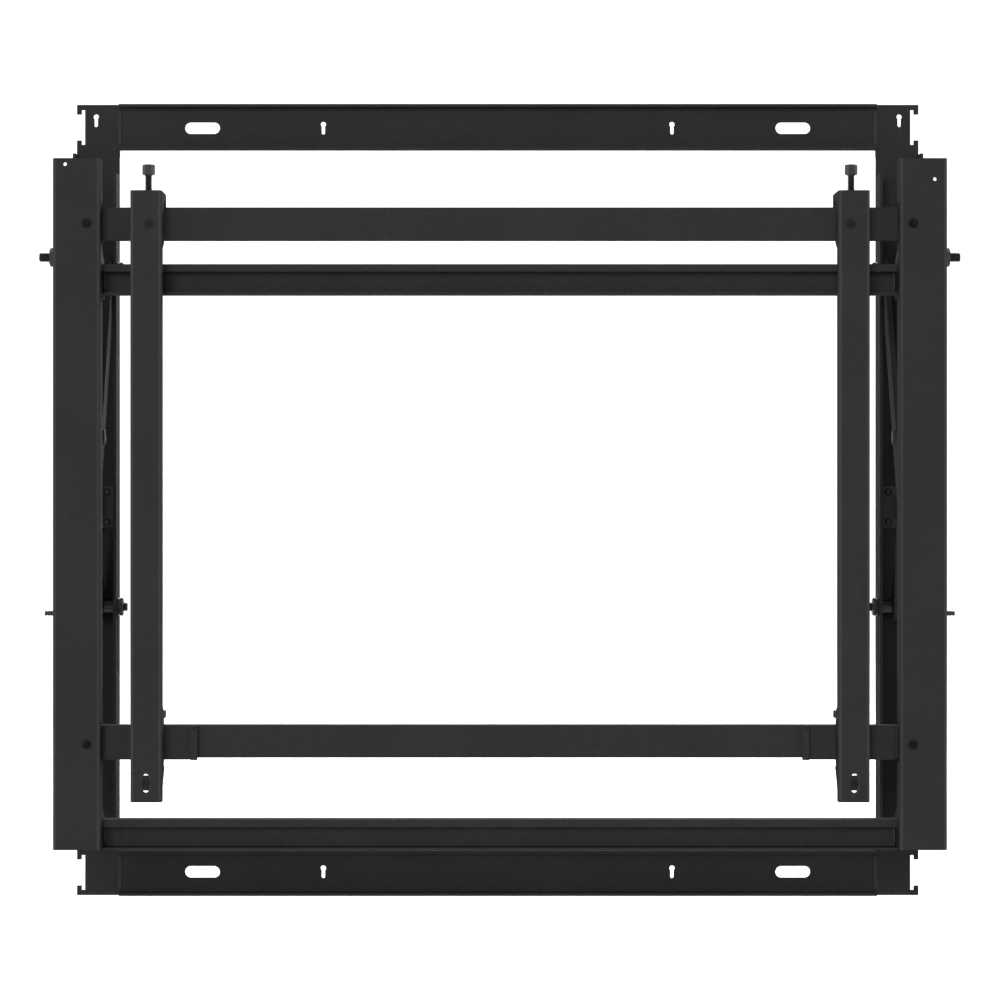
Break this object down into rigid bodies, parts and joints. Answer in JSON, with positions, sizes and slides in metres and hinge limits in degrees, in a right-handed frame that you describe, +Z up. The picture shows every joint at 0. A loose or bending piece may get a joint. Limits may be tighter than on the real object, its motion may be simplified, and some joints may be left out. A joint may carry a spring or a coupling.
{
  "type": "video wall mount",
  "caption": "Pop-out video wall mount: wall frame, scissor arms and a front frame with hook-on display brackets that adjust in depth and height.",
  "frame": {"origin": "centre of the wall frame, on the wall's surface", "axes": "+X to the right seen from the room, +Y into the wall, +Z up"},
  "size_m": [0.7416, 0.2382, 0.68],
  "materials": {
    "powder_coat": "fine matte black powder coat",
    "black_zinc": "black zinc, satin",
    "latch_steel": "matte black coat",
    "black_nylon": "matte nylon"
  },
  "bodies": {
    "wall_frame": {"top_wall_rail": "powder_coat", "bottom_wall_rail": "powder_coat", "left_upright": "powder_coat", "right_upright": "powder_coat", "wall_pivot_bolts": "black_zinc", "wall_pivot_washers": "black_zinc", "wall_pivot_nuts": "black_zinc", "left_latch_housing": "latch_steel", "right_latch_housing": "latch_steel"},
    "front_frame": {"left_front_member": "powder_coat", "right_front_member": "powder_coat", "upper_cross_rail": "powder_coat", "lower_cross_rail": "powder_coat", "front_pivot_bolts": "black_zinc", "front_pivot_spacers": "black_zinc", "front_pivot_nuts": "black_zinc", "left_latch_striker": "latch_steel", "right_latch_striker": "latch_steel"},
    "upper_hang_rail": {"upper_hang_rail": "powder_coat"},
    "lower_hang_rail": {"lower_hang_rail": "powder_coat", "lower_left_rail_stop": "powder_coat", "lower_right_rail_stop": "powder_coat"},
    "left_wall_arm": {"left_wall_arm": "powder_coat", "left_front_slide_pin": "black_zinc", "left_centre_rivet": "black_zinc", "left_centre_washer": "black_zinc"},
    "left_front_arm": {"left_front_arm": "powder_coat", "left_wall_slide_bolt": "black_zinc", "left_wall_slide_spacer": "black_zinc", "left_wall_slide_washer": "black_zinc", "left_wall_slide_nut": "black_zinc"},
    "left_hanger": {"left_upper_hanger": "powder_coat", "left_lower_hanger": "powder_coat", "left_lock_screw": "black_zinc"},
    "left_bracket": {"left_display_bracket": "powder_coat", "left_guide_screw": "black_zinc", "left_guide_nut": "black_zinc"},
    "left_height_screw": {"left_height_screw": "black_zinc"},
    "left_latch_plunger": {"left_latch_plunger": "black_nylon"},
    "upper_left_depth_screw": {"upper_left_depth_screw": "black_zinc"},
    "lower_left_depth_screw": {"lower_left_depth_screw": "black_zinc"},
    "right_wall_arm": {"right_wall_arm": "powder_coat", "right_front_slide_pin": "black_zinc", "right_centre_rivet": "black_zinc", "right_centre_washer": "black_zinc"},
    "right_front_arm": {"right_front_arm": "powder_coat", "right_wall_slide_bolt": "black_zinc", "right_wall_slide_spacer": "black_zinc", "right_wall_slide_washer": "black_zinc", "right_wall_slide_nut": "black_zinc"},
    "right_hanger": {"right_upper_hanger": "powder_coat", "right_lower_hanger": "powder_coat", "right_lock_screw": "black_zinc"},
    "right_bracket": {"right_display_bracket": "powder_coat", "right_guide_screw": "black_zinc", "right_guide_nut": "black_zinc"},
    "right_height_screw": {"right_height_screw": "black_zinc"},
    "right_latch_plunger": {"right_latch_plunger": "black_nylon"},
    "upper_right_depth_screw": {"upper_right_depth_screw": "black_zinc"},
    "lower_right_depth_screw": {"lower_right_depth_screw": "black_zinc"}
  },
  "joints": [
    {"name": "fold", "type": "hinge", "parent": "wall_frame", "child": "left_wall_arm", "pos_m": [-0.331, -0.025, 0.1955], "axis": [1, 0, 0], "range_deg": [0, 25.66]},
    {"name": "left_cross", "type": "hinge", "parent": "left_wall_arm", "child": "left_front_arm", "pos_m": [-0.335, -0.11634, 0.05212], "axis": [1, 0, 0], "range_deg": [-51.52, 0]},
    {"name": "front_turn", "type": "hinge", "parent": "left_front_arm", "child": "front_frame", "pos_m": [-0.34, -0.20768, 0.1955], "axis": [1, 0, 0], "range_deg": [0, 25.86]},
    {"name": "right_fold", "type": "hinge", "parent": "wall_frame", "child": "right_wall_arm", "pos_m": [0.331, -0.025, 0.1955], "axis": [1, 0, 0], "range_deg": [0, 25.86]},
    {"name": "right_cross", "type": "hinge", "parent": "right_wall_arm", "child": "right_front_arm", "pos_m": [0.335, -0.11634, 0.05212], "axis": [1, 0, 0], "range_deg": [-51.52, 0]},
    {"name": "depth", "type": "slide", "parent": "front_frame", "child": "upper_hang_rail", "axis": [0, 1, 0], "range_m": [-0.008, 0.008]},
    {"name": "lower_depth", "type": "slide", "parent": "front_frame", "child": "lower_hang_rail", "axis": [0, 1, 0], "range_m": [-0.0081, 0.0081]},
    {"name": "upper_left_depth_turn", "type": "hinge", "parent": "front_frame", "child": "upper_left_depth_screw", "pos_m": [-0.3305, -0.22918, 0.2214], "axis": [0, 1, 0], "range_deg": [-2306, 2306]},
    {"name": "lower_left_depth_turn", "type": "hinge", "parent": "front_frame", "child": "lower_left_depth_screw", "pos_m": [-0.3305, -0.22918, -0.1957], "axis": [0, 1, 0], "range_deg": [-2306, 2306]},
    {"name": "upper_right_depth_turn", "type": "hinge", "parent": "front_frame", "child": "upper_right_depth_screw", "pos_m": [0.3305, -0.22918, 0.2214], "axis": [0, 1, 0], "range_deg": [-2306, 2306]},
    {"name": "lower_right_depth_turn", "type": "hinge", "parent": "front_frame", "child": "lower_right_depth_screw", "pos_m": [0.3305, -0.22918, -0.1957], "axis": [0, 1, 0], "range_deg": [-2306, 2306]},
    {"name": "left_shift", "type": "slide", "parent": "upper_hang_rail", "child": "left_hanger", "axis": [1, 0, 0], "range_m": [-0.017, 0.02]},
    {"name": "left_height", "type": "slide", "parent": "left_hanger", "child": "left_bracket", "axis": [0, 0, 1], "range_m": [-0.005, 0.005]},
    {"name": "left_height_turn", "type": "hinge", "parent": "left_hanger", "child": "left_height_screw", "pos_m": [-0.282, -0.21798, 0.25], "axis": [0, 0, 1], "range_deg": [-1802, 1802]},
    {"name": "left_latch_press", "type": "slide", "parent": "wall_frame", "child": "left_latch_plunger", "axis": [0, 1, 0], "range_m": [0, 0.005], "stiffness_N_per_m": 800, "springref_m": -0.004},
    {"name": "right_shift", "type": "slide", "parent": "upper_hang_rail", "child": "right_hanger", "axis": [-1, 0, 0], "range_m": [-0.017, 0.02]},
    {"name": "right_height", "type": "slide", "parent": "right_hanger", "child": "right_bracket", "axis": [0, 0, 1], "range_m": [-0.005, 0.005]},
    {"name": "right_height_turn", "type": "hinge", "parent": "right_hanger", "child": "right_height_screw", "pos_m": [0.282, -0.21798, 0.25], "axis": [0, 0, 1], "range_deg": [-1802, 1802]},
    {"name": "right_latch_press", "type": "slide", "parent": "wall_frame", "child": "right_latch_plunger", "axis": [0, 1, 0], "range_m": [0, 0.005], "stiffness_N_per_m": 800, "springref_m": -0.004}
  ],
  "couplings": [
    {"joint": "left_cross", "follows": "fold", "ratio": -2},
    {"joint": "front_turn", "follows": "fold", "ratio": 1},
    {"joint": "right_fold", "follows": "fold", "ratio": 1},
    {"joint": "right_cross", "follows": "fold", "ratio": -2},
    {"joint": "lower_depth", "follows": "depth", "ratio": 1},
    {"joint": "upper_left_depth_turn", "follows": "depth", "rad_per_m": -5026.5},
    {"joint": "lower_left_depth_turn", "follows": "depth", "rad_per_m": -5026.5},
    {"joint": "upper_right_depth_turn", "follows": "depth", "rad_per_m": -5026.5},
    {"joint": "lower_right_depth_turn", "follows": "depth", "rad_per_m": -5026.5},
    {"joint": "left_height_turn", "follows": "left_height", "rad_per_m": -6283.2},
    {"joint": "right_height_turn", "follows": "right_height", "rad_per_m": -6283.2}
  ]
}
